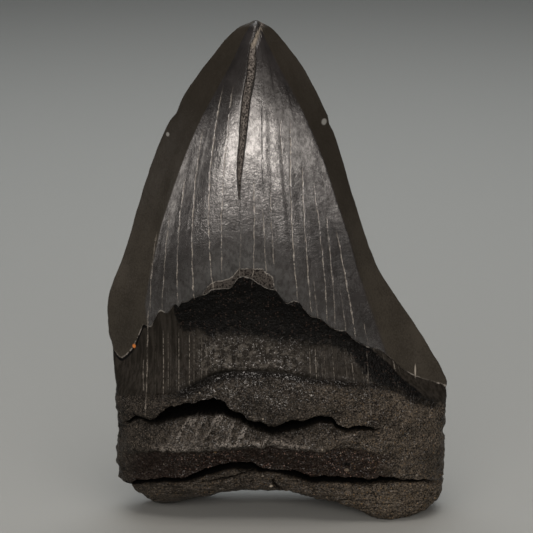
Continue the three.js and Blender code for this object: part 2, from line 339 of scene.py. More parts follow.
# The ledge over the dark foot of the root: (across, height in mm) of its foot, and (height, across) of
# its right end.
ledge_foot = curve(
    (-0.92, 20.2), (-0.73, 22.7), (-0.49, 23), (-0.19, 24.4), (-0.04, 25.5), (0.05, 24.6), (0.16, 24.7),
    (0.24, 23.4), (0.35, 24.4), (0.5, 23.8), (0.59, 22.1),
)
ledge_end = curve((24.7, 0.157), (26.1, 0.217), (28.1, 0.258), (29.9, 0.292), (30.5, 0.319))
LEDGE_FIELD = (-0.9, 0.55, 0.1)
LEDGE_WAVER = 0.5
LEDGE_WAVER_NOISE = (4, 3, 8)
LEDGE_STEP = 0.9
LEDGE_LIP = 0.75
LEDGE_LIP_HEIGHT = 1.3
LEDGE_LIP_HALF_HEIGHT = 1.2
LEDGE_LIP_END = (0, 0.3)
LEDGE_END_STEP = 0.7
LEDGE_END_START = (-0.1, 0.2)
LEDGE_END_SPAN = (25, 31.5, 1)

# Folds on the ledge: (x at the fold height, how far the fold stands out), in mm.
FOLDS = ((-34, 0.3), (-30.5, 0.9), (-26.8, 0.4), (-23.8, 0.9), (-20.8, 0.5), (-14.8, 0.7), (-9, 0.3))
FOLD_HALF_WIDTH = 0.8
FOLD_LEAN = 0.5
FOLD_HEIGHT = 30
FOLD_SPAN = (25.5, 33, 2.5)

# The crease under the bourlette line: (across, depth in mm).
crease_depth = curve(
    (-1, 0.1), (-0.65, 0.5), (-0.5, 1.4), (-0.3, 1.4), (-0.15, 1), (0.2, 0.9), (0.5, 0.7), (0.65, 1.2),
    (0.85, 1.2), (1, 0.3),
)
CREASE_DROP = 0.6
CREASE_HALF_WIDTH = 1.1

# The worn groove runs down from the tip: (height, x) and (height, half width), in mm.
groove_path = curve(
    (98, -11.3), (106, -11.3), (110.6, -11), (116, -10.4), (122, -9.9), (127, -9.4), (130, -8.9),
    (135, -7.9), (142, -7.4), (145, -6.2), (146.5, -5.6), (147.8, -4.7),
)
groove_half_width = curve(
    (98, 0.15), (102, 0.3), (106, 0.6), (111, 0.9), (116, 0.95), (122, 1.15), (138, 1.2), (142, 0.9),
    (147, 0.6),
)
GROOVE_DEPTH = 1.3
GROOVE_FOOT = (97, 102)

# The groove's wall and its edge of painted shade, in shares of its half width from its middle line.
GROOVE_WALL = (0.75, 1.15)
GROOVE_SHADE_EDGE = (0.9, 1.15, 0.22)

# The matte patch above the margin, where the enamel has flaked off: (across, height in mm) of its top.
flake_top = curve(
    (-0.34, 70), (-0.318, 72.1), (-0.283, 74), (-0.248, 74.9), (-0.174, 75.5), (-0.122, 76.4),
    (-0.083, 78.3), (-0.059, 79.1), (0.114, 79), (0.143, 77.7), (0.185, 76.7), (0.2, 71),
)
FLAKE_SPAN = (-0.33, 0.195, 0.01)
FLAKE_DEPTH = 0.35

# The black hollow under the margin: (across, height in mm) of its foot, and of its top on the right.
neck_foot = curve(
    (-0.56, 68), (-0.48, 59), (-0.38, 60.4), (-0.33, 58), (-0.27, 59.4), (-0.13, 59.1), (0.03, 58.1),
    (0.11, 57), (0.39, 56.1), (0.45, 55), (0.51, 52.2), (0.54, 47.4), (0.59, 43.5), (0.64, 43.1),
    (0.71, 41), (0.85, 37.3),
)
neck_top = curve(
    (0.58, 90), (0.62, 56), (0.66, 51.9), (0.7, 48.7), (0.74, 44.1), (0.77, 42.2), (0.85, 37.8),
)
NECK_SPAN = (-0.52, 0.84, 0.03)
NECK_FOOT_FADE = (-5, 3)

# The enamel's edge stands over the band along the margin, and by half as much on the lip side.
ENAMEL_STEP = 0.9
LIP_SIDE_STEP = 0.45

# The rise of the left lobe's front: (from x, to x), the y where it starts, and its slope.
LEFT_LOBE_SIDE = (-28, -12)
FOOT_FRONT = 7
FOOT_SLOPE = 0.4


def off_sides(across):
    """1 over the middle, fading to 0 at the side edges."""
    return 1 - ease(np.abs(across), *SIDE_FADE)


def crack_cut(above, half_opening):
    """How far a root crack cuts in, at a height above its middle line."""
    wall = np.where(above > 0, UPPER_LIP_WALL, LOWER_LIP_WALL)
    open_share = np.clip(half_opening / FULL_OPENING, 0, 1)
    return CRACK_DEPTH * open_share * (1 - ease(np.abs(above) - half_opening, 0, wall))


def thin_cracks(across, z):
    """How open the two thin cracks in the slab are: 1 on their middle lines."""
    along = bump_at(z - slab_crack(across), THIN_CRACK_HALF_WIDTH) * between(across, *SLAB_CRACK_SPAN)
    upright = bump_at((across - slab_split(z)) * HALF_WIDTH, THIN_CRACK_HALF_WIDTH)
    return np.maximum(along, upright * between(z, *SLAB_SPLIT_SPAN))


def foot_lift(level, x, y):
    """The left lobe touches the floor behind its middle, so its front rises toward the viewer."""
    on_lobe = 1 - ease(x, *LEFT_LOBE_SIDE)
    return FOOT_SLOPE * np.maximum(0, FOOT_FRONT - y) * on_lobe * np.maximum(0, LOWER_CRACK - level)


def folds(x, z):
    """The slanting folds on the ledge, in mm."""
    total = 0
    for place, height in FOLDS:
        total = total + height * bump_at(x - place - FOLD_LEAN * (z - FOLD_HEIGHT), FOLD_HALF_WIDTH)
    return total * between(z, *FOLD_SPAN)


def ledge_parts(across, x, z, from_upper):
    """(height above the ledge's foot, share of the ledge's field, its face, its lip, its right end)."""
    above_foot = z - ledge_foot(across) + LEDGE_WAVER * lumps_along(x, *LEDGE_WAVER_NOISE)
    under_crack = 1 - past(from_upper, soft=0.5)
    field = between(across, *LEDGE_FIELD) * under_crack
    face = past(above_foot, soft=0.35) * field
    lip = LEDGE_LIP * bump_at(above_foot - LEDGE_LIP_HEIGHT, LEDGE_LIP_HALF_HEIGHT) * field
    lip = lip * (1 - ease(across, *LEDGE_LIP_END))
    end = past((ledge_end(z) - across) * HALF_WIDTH, soft=0.3) * ease(across, *LEDGE_END_START)
    end = LEDGE_END_STEP * end * between(z, *LEDGE_END_SPAN) * under_crack
    return above_foot, field, face, lip, end


def tip_groove(x, z):
    """Shares of the worn groove and of the painted shade along its edge."""
    wall = np.abs(x - groove_path(z)) / groove_half_width(z)
    on_groove = ease(z, *GROOVE_FOOT)
    return (1 - ease(wall, *GROOVE_WALL)) * on_groove, between(wall, *GROOVE_SHADE_EDGE) * on_groove


def flaked_patch(across, z, over_margin):
    """Share of the matte patch where the enamel has flaked off."""
    patch = past(over_margin, soft=0.1) * (1 - past(z - flake_top(across), soft=0.15))
    return patch * between(across, *FLAKE_SPAN)


def black_hollow(across, z, over_margin):
    """Share of the black hollow under the margin."""
    hollow = ease(z - neck_foot(across), *NECK_FOOT_FADE) * (1 - past(z - neck_top(across), soft=0.5))
    return hollow * (1 - past(over_margin, soft=0.1)) * between(across, *NECK_SPAN)


def edge_chips(across, z):
    """How far to the left, in mm, wear and dents move the side edges: inward on both sides."""
    wear = EDGE_WEAR * (1 + ROOT_EXTRA_WEAR * (1 - ease(z, *ROOT_WEAR_FADE)))
    left = wear * lumps_along(z, *LEFT_WEAR)
    for depth, foot, top in LEFT_DENTS:
        left += depth * rise_and_fall(z, foot, top)
    right = wear * lumps_along(z, *RIGHT_WEAR)
    right += NOTCH_DEPTH * bump_at(z - NOTCH_HEIGHT, NOTCH_HALF_HEIGHT)
    return right * ease(across, EDGE_REACH, 1) - left * ease(-across, EDGE_REACH, 1)


# ---- One side as a grid of points, with the zones that its colours follow ----

# Spans of the zones: (low, high, fade) in mm along x and z, or in shares of the half width.
WORN_X = (-20, 4, 7)
WORN_Z = (48.5, 56, 4)
WORN_FOOT = (0, 1.5)
PALE_LEDGE_X = (-30, -6, 5)
PALE_LEDGE_Z = (26, 34, 2)
# The painted shadow under the upper crack: its span across, and where it comes in and fades below the
# crack.
SHADE_SPAN = (-0.72, 0.25, 0.15)
SHADE_FOOT = (-4, -0.5)
SHADE_TOP = (0, 0.5)
RUST_SPAN = (-0.85, 0.55, 0.15)
RUST_FOOT = (0.2, 1)
SLAB_TOP = (-0.4, 0.1)
# How strongly the crease under the bourlette line is painted with shade.
CREASE_SHADE = 1.4


def grid_places(level, across, lines):
    """(level, across, x, z) over a grid whose rows are levels and whose columns run left to right."""
    below = np.minimum(level.astype(int), TIP - 1)
    z = blend(lines[below], lines[below + 1], (level - below)[:, None])
    level = np.broadcast_to(level[:, None], z.shape)
    across = np.broadcast_to(across[None, :], z.shape)
    left, right = left_edge(z) * HALF_WIDTH, right_edge(z) * HALF_WIDTH
    middle, half = (left + right) / 2, (right - left) / 2
    x = middle + half * across * tip_closed(level) - edge_chips(across, z)
    return level, across, x, z


def side_points(level, x, z, out, shape):
    """The points of one side: y stands out by out, in mm, in the shape of the cross-section."""
    shape = shape * ends_closed(level) * tip_closed(level)
    y = edge_set_back(level) * HALF_DEPTH + out * shape
    return np.stack([x, y, z + foot_lift(level, x, y)], axis=-1)


def lip_side(row_level, column):
    lines = lip_lines(column)
    level, across, x, z = grid_places(row_level, column, lines)
    over_margin = z - lines[MARGIN]
    crown = 1 - np.abs(across) ** LIP_SIDE_CURVE
    shape = blend(root_section(across), crown, ease(level, *ROOT_TO_CROWN))
    step = LIP_SIDE_STEP * (past(over_margin, soft=0.4) - 1) * off_sides(across)
    points = side_points(level, x, z, lip_depth(level) * HALF_DEPTH + step, shape)
    return points, {"over_margin": over_margin, "over_band": z - lines[BOURLETTE], "level": level}


def tongue_side(row_level, column):
    lines = tongue_lines(column)
    level, across, x, z = grid_places(row_level, column, lines)
    over_margin, over_band = z - lines[MARGIN], z - lines[BOURLETTE]
    waver = CRACK_WAVER * lumps_along(x, *CRACK_WAVER_NOISE)
    from_lower, from_upper = z - lines[LOWER_CRACK] + waver, z - lines[UPPER_CRACK] - waver
    inner = off_sides(across)

    crack = crack_cut(from_lower, lower_opening(across)) + crack_cut(from_upper, upper_opening(across))
    crack = crack * inner
    thin = thin_cracks(across, z)
    crease = crease_depth(across) * bump_at(over_band + CREASE_DROP, CREASE_HALF_WIDTH) * inner
    groove, groove_shade_edge = tip_groove(x, z)
    flake = flaked_patch(across, z, over_margin)
    above_foot, on_ledge, ledge, lip, ledge_side = ledge_parts(across, x, z, from_upper)
    fold = folds(x, z) * on_ledge

    deep_level = blend(level, smooth_level(z, column), inner)
    depth = blend(ledged_depth(deep_level), plain_depth(deep_level), ease(across, *LEDGE_ENDS))
    out = ENAMEL_STEP * past(over_margin, soft=0.15) * inner + LEDGE_STEP * (ledge - on_ledge)
    out = out + lip + ledge_side + fold - FLAKE_DEPTH * flake
    cut = crack + THIN_CRACK_DEPTH * thin + crease + GROOVE_DEPTH * groove
    shape = blend(root_section(across), crown_section(across, z), ease(deep_level, *ROOT_TO_CROWN))
    points = side_points(level, x, z, cut - depth * HALF_DEPTH - out, shape)

    rust = (1 - past(above_foot, soft=0.6)) * ease(from_lower, *RUST_FOOT)
    blade = np.abs(across) - blade_start(across, z)
    zones = {
        "over_margin": over_margin,
        "over_band": over_band,
        "level": level,
        "front": np.ones_like(z),
        "crack": np.clip(np.maximum(crack / BLACK_DEPTH, thin), 0, 1),
        "groove": groove,
        "groove_shade_edge": groove_shade_edge,
        "flake": flake,
        "neck": black_hollow(across, z, over_margin),
        "worn": between(x, *WORN_X) * between(z, *WORN_Z) * ease(over_band, *WORN_FOOT),
        "ledge": between(x, *PALE_LEDGE_X) * between(z, *PALE_LEDGE_Z) * on_ledge,
        "lip": np.clip(lip, 0, 1),
        "fold": np.clip(fold, 0, 1),
        "crease": np.clip(CREASE_SHADE * crease, 0, 1),
        "shade": between(across, *SHADE_SPAN) * rise_and_fall(from_upper, SHADE_FOOT, SHADE_TOP),
        "rust": between(across, *RUST_SPAN) * rust,
        "slab": 1 - ease(from_lower, *SLAB_TOP),
        "blade": past(blade, soft=0.01),
    }
    return points, zones


# ---- The whole surface ----

FRONT_COLUMNS = 221
COLUMN_STEPS = 2001

# Extra columns by the groove and at the side edges: how many times as many more, and where.
GROOVE_CROWDING = 0.8
GROOVE_ACROSS = -0.065
GROOVE_REACH = 0.06
SIDE_CROWDING = 1.2
SIDE_REACH = (0.92, 1)

# Rows: (from level, to level, count).
ROW_BANDS = (
    (0, 0.5, 12), (0.5, 0.83, 9), (0.83, 1.17, 40), (1.17, 1.78, 34), (1.78, 2.25, 48), (2.25, 2.9, 18),
    (2.9, 3.1, 12), (3.1, 3.88, 34), (3.88, 4.02, 20), (4.02, 4.14, 20), (4.14, 4.85, 34),
    (4.85, TIP - TIP_ROUNDING, 10),
)
TIP_ROWS = 8


def row_levels():
    """The level of each row, with the last rows turning in over the tip."""
    rows = [np.linspace(low, high, count, endpoint=False) for low, high, count in ROW_BANDS]
    turn = np.sin(np.linspace(0, math.pi / 2, TIP_ROWS + 1))[:-1]
    return np.concatenate([*rows, TIP - TIP_ROUNDING + TIP_ROUNDING * turn])


def column_places():
    """Columns stand closer at the side edges and round the groove."""
    steps = np.linspace(-1, 1, COLUMN_STEPS)
    crowd = 1 + GROOVE_CROWDING * bump_at(steps - GROOVE_ACROSS, GROOVE_REACH)
    crowd += SIDE_CROWDING * ease(np.abs(steps), *SIDE_REACH)
    run = np.cumsum(crowd)
    run = (run - run[0]) / (run[-1] - run[0])
    return np.interp(np.linspace(0, 1, FRONT_COLUMNS), run, steps)


def whole_surface():
    """(points, zones) of the rings: the front from left to right, then the back from right to left."""
    level, across = row_levels(), column_places()
    front, front_zones = tongue_side(level, across)
    back, back_zones = lip_side(level, across[::2])
    points = np.concatenate([front, back[:, -2:0:-1]], axis=1)
    zones = {}
    for name, values in front_zones.items():
        behind = back_zones.get(name, np.zeros(back.shape[:2]))
        zones[name] = np.concatenate([values, behind[:, -2:0:-1]], axis=1)
    return points, zones


def surface_normals(points):
    """The unit normal at each point, from its neighbours along the row and up the column."""
    along_row = np.roll(points, -1, axis=1) - np.roll(points, 1, axis=1)
    up = np.gradient(points, axis=0)
    normal = np.cross(along_row, up)
    return normal / np.maximum(np.linalg.norm(normal, axis=-1, keepdims=True), 1e-9)


# Lumps of the surface: size in mm, octaves, seed, stretch, and how far out they stand on each part.
EVEN = (1, 1, 1)
SLAB_STRETCH = (5, 2, 0.8)
LUMPS = (
    (10, 2, 1, EVEN, {"root": 0.5}),
    (3.4, 3, 2, EVEN, {"root": 0.45, "band": 0.12}),
    (1.5, 2, 5, EVEN, {"root": 0.34, "band": 0.04, "worn": 0.3, "neck": 0.24, "ledge": 0.3, "lip": 0.3}),
    (8, 3, 4, (1, 1, 2), {"crown": 0.09}),
    (1.1, 3, 8, SLAB_STRETCH, {"slab": 0.4}),
    (0.9, 2, 9, EVEN, {"groove": 0.35}),
)
UNDERSIDE_FADE = (0, 0.2)
TIP_FADE = 2


def weathering(points, zones, level):
    """How far the surface stands out of its plain shape, in mm."""
    root = 1 - past(zones["over_band"], soft=0.3)
    crown = past(zones["over_margin"], soft=0.3)
    parts = {**zones, "root": root, "crown": crown, "band": (1 - root) * (1 - crown)}
    out = 0
    for size, octaves, seed, stretch, heights in LUMPS:
        height = sum(height * parts[name] for name, height in heights.items())
        out = out + height * lumps(points, size, octaves, seed, stretch)
    return out * (1 - zones["crack"]) * ease(level, *UNDERSIDE_FADE)


def tooth_points():
    """(points, zones) of the rings, weathered. The level shapes the points only, so it is left out."""
    points, zones = whole_surface()
    level = zones.pop("level")
    out = weathering(points, zones, level) * ease(HEIGHT - points[..., 2], 0, TIP_FADE)
    points = points + surface_normals(points) * out[..., None]
    points[..., 2] = np.maximum(points[..., 2], 0)
    return points, zones


# ---- Mesh ----


def add_object(name, data):
    made = bpy.data.objects.new(name, data)
    bpy.context.scene.collection.objects.link(made)
    return made


# The two sides in the UV square: (left, right) of each, and the bottom and top of both.
FRONT_SHEET = (0.02, 0.49)
BACK_SHEET = (0.51, 0.98)
SHEET_RISE = (0.02, 0.97)


def tooth_faces(rows, ring, front_columns):
    """Quads round the rings, with the underside's seam and the tip closed. The seam's back vertices
    are the front's own, since every back column stands over every second front column."""
    index = np.arange(rows * ring).reshape(rows, ring)
    back_of_seam = np.arange(2 * (ring - front_columns), 0, -2)
    index[0, front_columns:] = index[0, back_of_seam]
    after = np.roll(index, -1, axis=1)
    quads = np.stack([index[:-1], after[:-1], after[1:], index[1:]], axis=-1).reshape(-1, 4).tolist()
    seam = [[i, i + 2, i + 1] for i in range(0, front_columns - 1, 2)]
    middle = rows * ring
    tip = [[index[-1, i], after[-1, i], middle] for i in range(ring)]
    return quads + seam + tip


def sheet_places(points, front_columns):
    """The UV place of every face corner, in the order of tooth_faces, with both sides laid flat."""
    rows, ring = points.shape[:2]
    climb = np.linalg.norm(np.diff(points, axis=0), axis=-1).mean(axis=1)
    climb = np.r_[0, np.cumsum(climb)] / climb.sum()
    v = SHEET_RISE[0] + climb * (SHEET_RISE[1] - SHEET_RISE[0])
    front = np.linspace(*FRONT_SHEET, front_columns)
    back = np.linspace(*BACK_SHEET, ring - front_columns + 2)
    here = np.r_[front[:-1], back[:-1]]
    after = np.r_[front[1:], back[1:]]
    u = np.broadcast_to(np.stack([here, after, after, here], axis=-1), (rows - 1, ring, 4))
    low, high = v[:-1, None], v[1:, None]
    height = np.broadcast_to(np.stack([low, low, high, high], axis=-1), (rows - 1, ring, 4))
    quads = np.stack([u, height], axis=-1).reshape(-1, 2)
    seam = [(front[i + step], v[0]) for i in range(0, front_columns - 1, 2) for step in (0, 2, 1)]
    over_tip = 1 - (1 - v[-1]) / 2
    tip = []
    for a, b in zip(here, after):
        tip += [(a, v[-1]), (b, v[-1]), ((a + b) / 2, over_tip)]
    return np.vstack([quads, seam, tip])


def build_tooth():
    points, zones = tooth_points()
    rows, ring = points.shape[:2]
    summit = points[-1].mean(axis=0)
    summit[2] = HEIGHT + TIP_CAP
    vertices = np.vstack([points.reshape(-1, 3), summit]) * MM
    mesh = bpy.data.meshes.new("megalodon_tooth")
    mesh.from_pydata(vertices.tolist(), [], tooth_faces(rows, ring, FRONT_COLUMNS))
    mesh.shade_smooth()
    sheet = mesh.uv_layers.new(name="OFBake")
    places = sheet_places(points, FRONT_COLUMNS)
    sheet.data.foreach_set("uv", places.reshape(-1).astype(np.float32))
    for name, values in zones.items():
        attribute = mesh.attributes.new(name, "FLOAT", "POINT")
        with_tip = np.append(values, values[-1].mean())
        attribute.data.foreach_set("value", with_tip.astype(np.float32))
    return add_object("megalodon_tooth", mesh)


# ---- Material ----

SPECK_EDGE = (0.22, 0.38)
SPECK_SOFTNESS = 0.02


class Shader:
    """Adds nodes to one material and joins them by plain calls. Lengths are in millimetres."""

    def __init__(self, name):
        self.material = bpy.data.materials.new(name)
        self.material.use_nodes = True
        self.tree = self.material.node_tree
        self.surface = self.tree.nodes["Principled BSDF"]
        place = self.node("ShaderNodeTexCoord").outputs["Object"]
        self.place = self.vector("MULTIPLY", place, (1 / MM,) * 3)
        apart = self.node("ShaderNodeSeparateXYZ", Vector=self.place)
        self.x, self.z = apart.outputs["X"], apart.outputs["Z"]

    def feed(self, socket, value):
        if isinstance(value, bpy.types.NodeSocket):
            self.tree.links.new(value, socket)
        else:
            socket.default_value = value

    def node(self, kind, **inputs):
        made = self.tree.nodes.new(kind)
        for name, value in inputs.items():
            self.feed(made.inputs[name], value)
        return made

    def join(self, kind, operation, values):
        made = self.node(kind)
        made.operation = operation
        for socket, value in zip(made.inputs, values):
            self.feed(socket, value)
        return made.outputs[0]

    def math(self, operation, *values):
        return self.join("ShaderNodeMath", operation, values)

    def vector(self, operation, *values):
        return self.join("ShaderNodeVectorMath", operation, values)

    def mix(self, share, first, second):
        made = self.node("ShaderNodeMix")
        made.data_type = "RGBA"
        sockets = {socket.identifier: socket for socket in (*made.inputs, *made.outputs)}
        for name, value in (("Factor_Float", share), ("A_Color", first), ("B_Color", second)):
            self.feed(sockets[name], (*value, 1) if isinstance(value, tuple) else value)
        return sockets["Result_Color"]

    def rise(self, value, low, high, to_low=0.0, to_high=1.0):
        """A smooth rise from to_low at low to to_high at high."""
        made = self.node("ShaderNodeMapRange")
        made.interpolation_type = "SMOOTHSTEP"
        names = ("Value", "From Min", "From Max", "To Min", "To Max")
        for name, number in zip(names, (value, low, high, to_low, to_high)):
            self.feed(made.inputs[name], number)
        return made.outputs["Result"]

    def fall(self, value, low, high):
        """1 below low and 0 above high, with a smooth fall between."""
        return self.rise(value, low, high, 1.0, 0.0)

    def rise_and_fall(self, value, start, end):
        return self.times(self.rise(value, *start), self.fall(value, *end))

    def zone(self, name):
        made = self.node("ShaderNodeAttribute")
        made.attribute_name = name
        return made.outputs["Fac"]

    def grain(self, size, detail=3.0, sharpness=0.55, stretch=(1, 1, 1), place=None):
        """Noise of 0 to 1 with grains of about size mm, longer along stretch."""
        scale = tuple(1 / (size * s) for s in stretch)
        place = self.vector("MULTIPLY", place or self.place, scale)
        looks = {"Scale": 1.0, "Detail": detail, "Roughness": sharpness}
        return self.node("ShaderNodeTexNoise", Vector=place, **looks).outputs["Fac"]

    def specks(self, size, share, seed):
        """Round specks, one in each of a share of cells about size mm wide: 1 in a speck, 0 outside."""
        place = self.vector("MULTIPLY_ADD", self.place, (1 / size,) * 3, (seed,) * 3)
        cells = self.node("ShaderNodeTexVoronoi", Vector=place, Scale=1.0)
        chance = self.node("ShaderNodeSeparateXYZ", Vector=cells.outputs["Color"]).outputs["X"]
        inside = self.fall(cells.outputs["Distance"], *SPECK_EDGE)
        return self.times(inside, self.rise(chance, 1 - share, 1 - share + SPECK_SOFTNESS))

    def chain(self, operation, values):
        total = values[0]
        for value in values[1:]:
            total = self.math(operation, total, value)
        return total

    def add(self, *values):
        return self.chain("ADD", values)

    def times(self, *values):
        return self.chain("MULTIPLY", values)

    def most(self, *values):
        return self.chain("MAXIMUM", values)

    def less(self, value, other):
        return self.math("SUBTRACT", value, other)

    def flip(self, value):
        """1 less the value."""
        return self.less(1.0, value)

    def weighted(self, values, weights):
        """The sum of as many values as there are weights, each times its weight."""
        return self.add(*(self.times(value, weight) for value, weight in zip(values, weights)))

    def layered(self, colour, *layers):
        """The colour under layers laid in turn: each is a paint and the shares that weaken it."""
        for paint, *shares in layers:
            colour = self.mix(self.times(*shares), colour, paint)
        return colour


# Cracks down the enamel, filled with pale sediment: three (height, x) places in mm and a strength.
PALE_CRACKS = (
    ((131, -16.0), (107.5, -19.7), (72, -18.9), 1.0), ((131, -13.2), (106, -15.8), (78, -16.6), 0.7),
    ((118.5, -21.9), (94, -24.9), (69.5, -24.7), 1.0), ((105.5, -27), (85, -29.4), (67, -29.5), 0.8),
    ((95, -31.6), (83, -33), (65.5, -34.3), 0.55), ((88, -35.8), (77, -37.2), (64.5, -37.9), 0.5),
    ((105.5, -7.3), (93, -7), (74, -7.7), 0.75), ((99.5, -4.7), (88, -4.1), (76.5, -3.5), 0.6),
    ((102, -2.1), (89, -1.8), (80, -1.2), 0.55), ((121, 3.7), (100, 3.7), (70, 5.7), 1.0),
    ((108.5, 6.9), (88, 8), (65, 9.8), 0.85), ((103.5, 10.3), (83.5, 12.9), (62, 14.5), 0.85),
    ((94, 14), (80, 15.6), (60, 16.9), 0.6), ((88.5, 17.2), (74, 20.1), (57, 22.9), 0.9),
    ((75, 10.5), (69, 11), (63.5, 11.6), 0.45), ((122, 0.8), (115.6, 0.8), (108.5, 1.5), 0.4),
    ((61.5, 25.3), (58.5, 25.9), (54.5, 26.8), 0.5), ((72, 18.1), (66.7, 19.1), (59, 20.1), 0.5),
    ((93, -10.5), (84, -11), (76, -11.5), 0.3), ((66, -38.5), (47.4, -39.1), (33.5, -39.4), 0.6),
    ((49, -40.2), (45, -40.3), (40, -40.1), 0.5), ((52, 26.5), (44, 27), (34, 27.5), 0.35),
)
DARK_CRACKS = (
    ((128, -4.7), (116, -4.7), (100, -4.3), 1.0), ((101.5, -11.2), (96, -11.3), (90.5, -11.3), 0.8),
)
CRACK_HALF_WIDTH = 0.19

# Shares of a crack's run where its line fades in and out.
CRACK_TOP_FADE = (-0.02, 0.1)
CRACK_FOOT_FADE = (0.96, 1.02)


def crack_lines(s, cracks, wobble, bead):
    """Strength of a set of thin cracks at each spot; bead thickens and thins them along their run."""
    lines = []
    for (top, x_top), (middle, x_middle), (foot, x_foot), strength in cracks:
        down = s.rise(s.z, top, foot)
        down.node.interpolation_type = "LINEAR"
        down.node.clamp = False
        at_middle = (top - middle) / (top - foot)
        bow = (x_middle - blend(x_top, x_foot, at_middle)) / (at_middle * (1 - at_middle))
        straight = s.math("MULTIPLY_ADD", down, x_foot - x_top, x_top)
        bowed = s.times(down, s.flip(down), bow)
        aside = s.math("ABSOLUTE", s.less(s.x, s.add(straight, bowed, wobble)))
        line = s.rise(s.less(aside, bead), 0.0, CRACK_HALF_WIDTH, strength, 0.0)
        lines.append(s.times(line, s.rise_and_fall(down, CRACK_TOP_FADE, CRACK_FOOT_FADE)))
    return s.most(*lines)


# Colours are linear.
ENAMEL_DARK = (0.012, 0.0104, 0.0098)
ENAMEL_GREY = (0.024, 0.0215, 0.0212)
BLADE_DARK = (0.016, 0.0134, 0.01)
BLADE_GREY = (0.046, 0.0402, 0.0318)
ENAMEL_RIM = (0.27, 0.25, 0.225)
FLAKE_GREY = (0.075, 0.067, 0.06)
CRACK_PALE = (0.33, 0.3, 0.26)
BAND_BROWN = (0.012, 0.01, 0.0076)
BAND_GREY = (0.026, 0.0225, 0.0185)
BAND_PALE = (0.24, 0.22, 0.19)
NECK_BLACK = (0.002, 0.0018, 0.0016)
NECK_SPECK = (0.034, 0.022, 0.0175)
ROOT_DARK = (0.007, 0.0056, 0.0044)
ROOT_GREY = (0.048, 0.0415, 0.0345)
GRIT_PALE = (0.2, 0.17, 0.135)
ROOT_TAN = (0.13, 0.105, 0.078)
# Painted sheen on the ledge's lip and folds.
FOLD_SHEEN = (0.24, 0.218, 0.195)
SEDIMENT_PALE = (0.38, 0.34, 0.28)
SEDIMENT_TAN = (0.17, 0.115, 0.06)
SEDIMENT_ORANGE = (0.7, 0.24, 0.06)
RUST = (0.013, 0.0072, 0.0055)
RUST_SPECK = (0.24, 0.15, 0.12)
CHIP_GREY = (0.2, 0.2, 0.19)
GROOVE_GREY = (0.2, 0.182, 0.165)
# Black, for pits and one spot, and for painted shade: inside the cracks, in the crease under the bourlette
# line, along the groove's edges, and as painted shadow under the enamel's left lobe and the upper crack.
SHADE_AND_CRACK_BLACK = (0.0012, 0.001, 0.0009)

# Single marks: (x, height, half width, half height in mm, colour).
SPOTS = (
    (-43.1, 52.3, 0.5, 0.7, SEDIMENT_ORANGE), (-32.6, 115.6, 0.5, 0.6, CHIP_GREY),
    (13.6, 119.4, 0.8, 0.9, CHIP_GREY), (41.3, 44.6, 0.25, 1.9, CRACK_PALE),
    (22.2, 13.4, 0.5, 0.4, SEDIMENT_PALE), (20.6, 17.3, 0.7, 0.5, ROOT_TAN),
    (-18.7, 23, 0.5, 0.6, SEDIMENT_TAN), (20.5, 19.2, 1.2, 0.6, SHADE_AND_CRACK_BLACK),
    (-2, 12, 0.5, 0.4, SEDIMENT_PALE),
)

# Where marks come in or fade over x or height, in mm. Where rise and fall read noise, which runs from 0
# to 1 about 0.5, their two numbers are where a mark starts and where it is full.
# The painted shadow under the enamel's left lobe: where it comes in over x, and its reach below the margin.
LOBE_SHADOW_X = (-37.5, -39.5)
LOBE_SHADOW_DROP = (-1.1, -0.8)
ROOT_TAN_X = (-5, 38)
SLAB_TAN_X = (10, 36)
LIP_SHEEN_X = (-40, -33)
FOLD_SHEEN_X = (-36, -24)
RUST_SPECK_X = (-36, -24)
GLINT_X = (-40, -24)
SHINE_TOP_Z = (114, 134)
SHINE_FOOT_Z = (66, 102)

# The two fields of pale striations on the band: where each comes in and fades over x, and its top.
STRIATED = (((-38, -34), (-22, -16), (59, 56)), ((5, 12), (36, 40), (56, 52)))

# Relief too fine for the mesh, in mm: of the fine and the medium grain, then of the streaks.
ENAMEL_RELIEF = (0.045, 0.04, 0.04)
WORN_RELIEF = (0.35, 0.2)
ROOT_RELIEF = (0.6, 0.7)
FLAKED_RELIEF = (0.4, 0.2)

# Relief of the band's striae, streaks and fine grain, and of the marks, in mm.
BAND_RELIEF = (0.12, 0.08, 0.1)
FOLD_RELIEF = 1.6
SLAB_RELIEF = 1.2
PALE_CRACK_RELIEF = -0.12
DARK_CRACK_RELIEF = -0.2

SPECULAR_LEVEL = 0.1
COAT_ROUGHNESS = 0.24
COAT_IOR = 2.8


